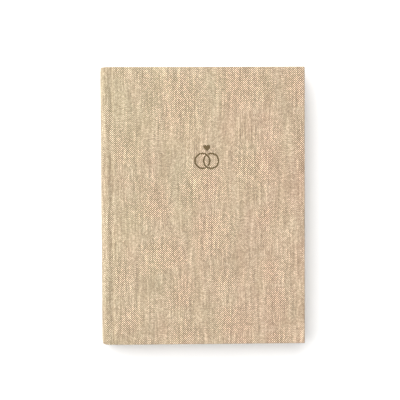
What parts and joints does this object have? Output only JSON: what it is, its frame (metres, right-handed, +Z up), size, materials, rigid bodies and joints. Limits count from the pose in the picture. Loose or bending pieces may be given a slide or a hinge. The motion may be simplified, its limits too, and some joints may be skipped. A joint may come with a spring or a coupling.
{
  "type": "wedding guest book",
  "caption": "Closed hardcover guest book in natural linen cloth, with french grooves, a rounded spine, sewn leaves and a small blocked foil motif; its covers and first leaves open.",
  "frame": {"origin": "centre of the underside of the closed book, which lies on its back cover", "axes": "+Z up through the thickness from back cover to front cover, +Y to the head of the pages, +X from the spine to the fore edge"},
  "size_m": [0.1918, 0.261, 0.026],
  "materials": {
    "linen_cloth": "natural linen book cloth, plain weave with slubs, matt",
    "gold_foil": "antique gold hot foil, satin",
    "greyboard": "grey binder's board",
    "endpaper": "ivory uncoated endpaper",
    "page_paper": "heavy ivory uncoated paper",
    "spine_card": "flexible grey card",
    "lining_paper": "brown kraft paper",
    "mull_gauze": "open cotton gauze with dried glue",
    "cotton_tape": "woven cotton tape",
    "linen_thread": "waxed linen thread",
    "band_silk": "cream silk wound over a cord"
  },
  "bodies": {
    "text_block": {"signature_01": "page_paper", "signature_02": "page_paper", "signature_03": "page_paper", "signature_04": "page_paper", "signature_05": "page_paper", "signature_06": "page_paper", "signature_07": "page_paper", "signature_08": "page_paper", "signature_09": "page_paper", "back_flyleaf": "endpaper", "sewing_tapes": "cotton_tape", "sewing_threads": "linen_thread", "spine_mull": "mull_gauze", "spine_lining": "lining_paper", "headband": "band_silk", "tailband": "band_silk", "spine_cloth": "linen_cloth", "spine_inlay": "spine_card", "front_joint_cloth": "linen_cloth", "back_joint_cloth": "linen_cloth", "front_hinge_paper": "endpaper", "back_hinge_paper": "endpaper", "front_mull_flap": "mull_gauze", "back_mull_flap": "mull_gauze"},
    "front_cover": {"front_board": "greyboard", "front_cover_cloth": "linen_cloth", "front_pastedown": "endpaper", "foil_ring_left": "gold_foil", "foil_ring_right": "gold_foil", "foil_heart": "gold_foil"},
    "back_cover": {"back_board": "greyboard", "back_cover_cloth": "linen_cloth", "back_pastedown": "endpaper"},
    "front_flyleaf": {"front_flyleaf": "endpaper"},
    "leaves_12": {"signature_12": "page_paper"},
    "leaves_11": {"signature_11": "page_paper"},
    "leaves_10": {"signature_10": "page_paper"}
  },
  "joints": [
    {"name": "front_cover_open", "type": "hinge", "parent": "text_block", "child": "front_cover", "pos_m": [-0.09, 0, 0.0241], "axis": [0, -1, 0], "range_deg": [0, 178], "deforming": ["front_joint_cloth", "front_hinge_paper", "front_mull_flap"]},
    {"name": "back_cover_open", "type": "hinge", "parent": "text_block", "child": "back_cover", "pos_m": [-0.09, 0, 0.0019], "axis": [0, 1, 0], "range_deg": [0, 178], "deforming": ["back_joint_cloth", "back_hinge_paper", "back_mull_flap"]},
    {"name": "front_flyleaf_turn", "type": "hinge", "parent": "text_block", "child": "front_flyleaf", "pos_m": [-0.09, 0, 0.0241], "axis": [0, -1, 0], "range_deg": [0, 177.1]},
    {"name": "signature_12_turn", "type": "hinge", "parent": "text_block", "child": "leaves_12", "pos_m": [-0.09, 0, 0.0241], "axis": [0, -1, 0], "range_deg": [0, 175.8]},
    {"name": "signature_11_turn", "type": "hinge", "parent": "text_block", "child": "leaves_11", "pos_m": [-0.09, 0, 0.0241], "axis": [0, -1, 0], "range_deg": [0, 174.6]},
    {"name": "signature_10_turn", "type": "hinge", "parent": "text_block", "child": "leaves_10", "pos_m": [-0.09, 0, 0.0241], "axis": [0, -1, 0], "range_deg": [0, 173.3]}
  ],
  "couplings": [
    {"joint": "front_flyleaf_turn", "follows": "front_cover_open", "ratio": 0.994},
    {"joint": "signature_12_turn", "follows": "front_cover_open", "ratio": 0.987},
    {"joint": "signature_11_turn", "follows": "front_cover_open", "ratio": 0.98},
    {"joint": "signature_10_turn", "follows": "front_cover_open", "ratio": 0.973}
  ]
}
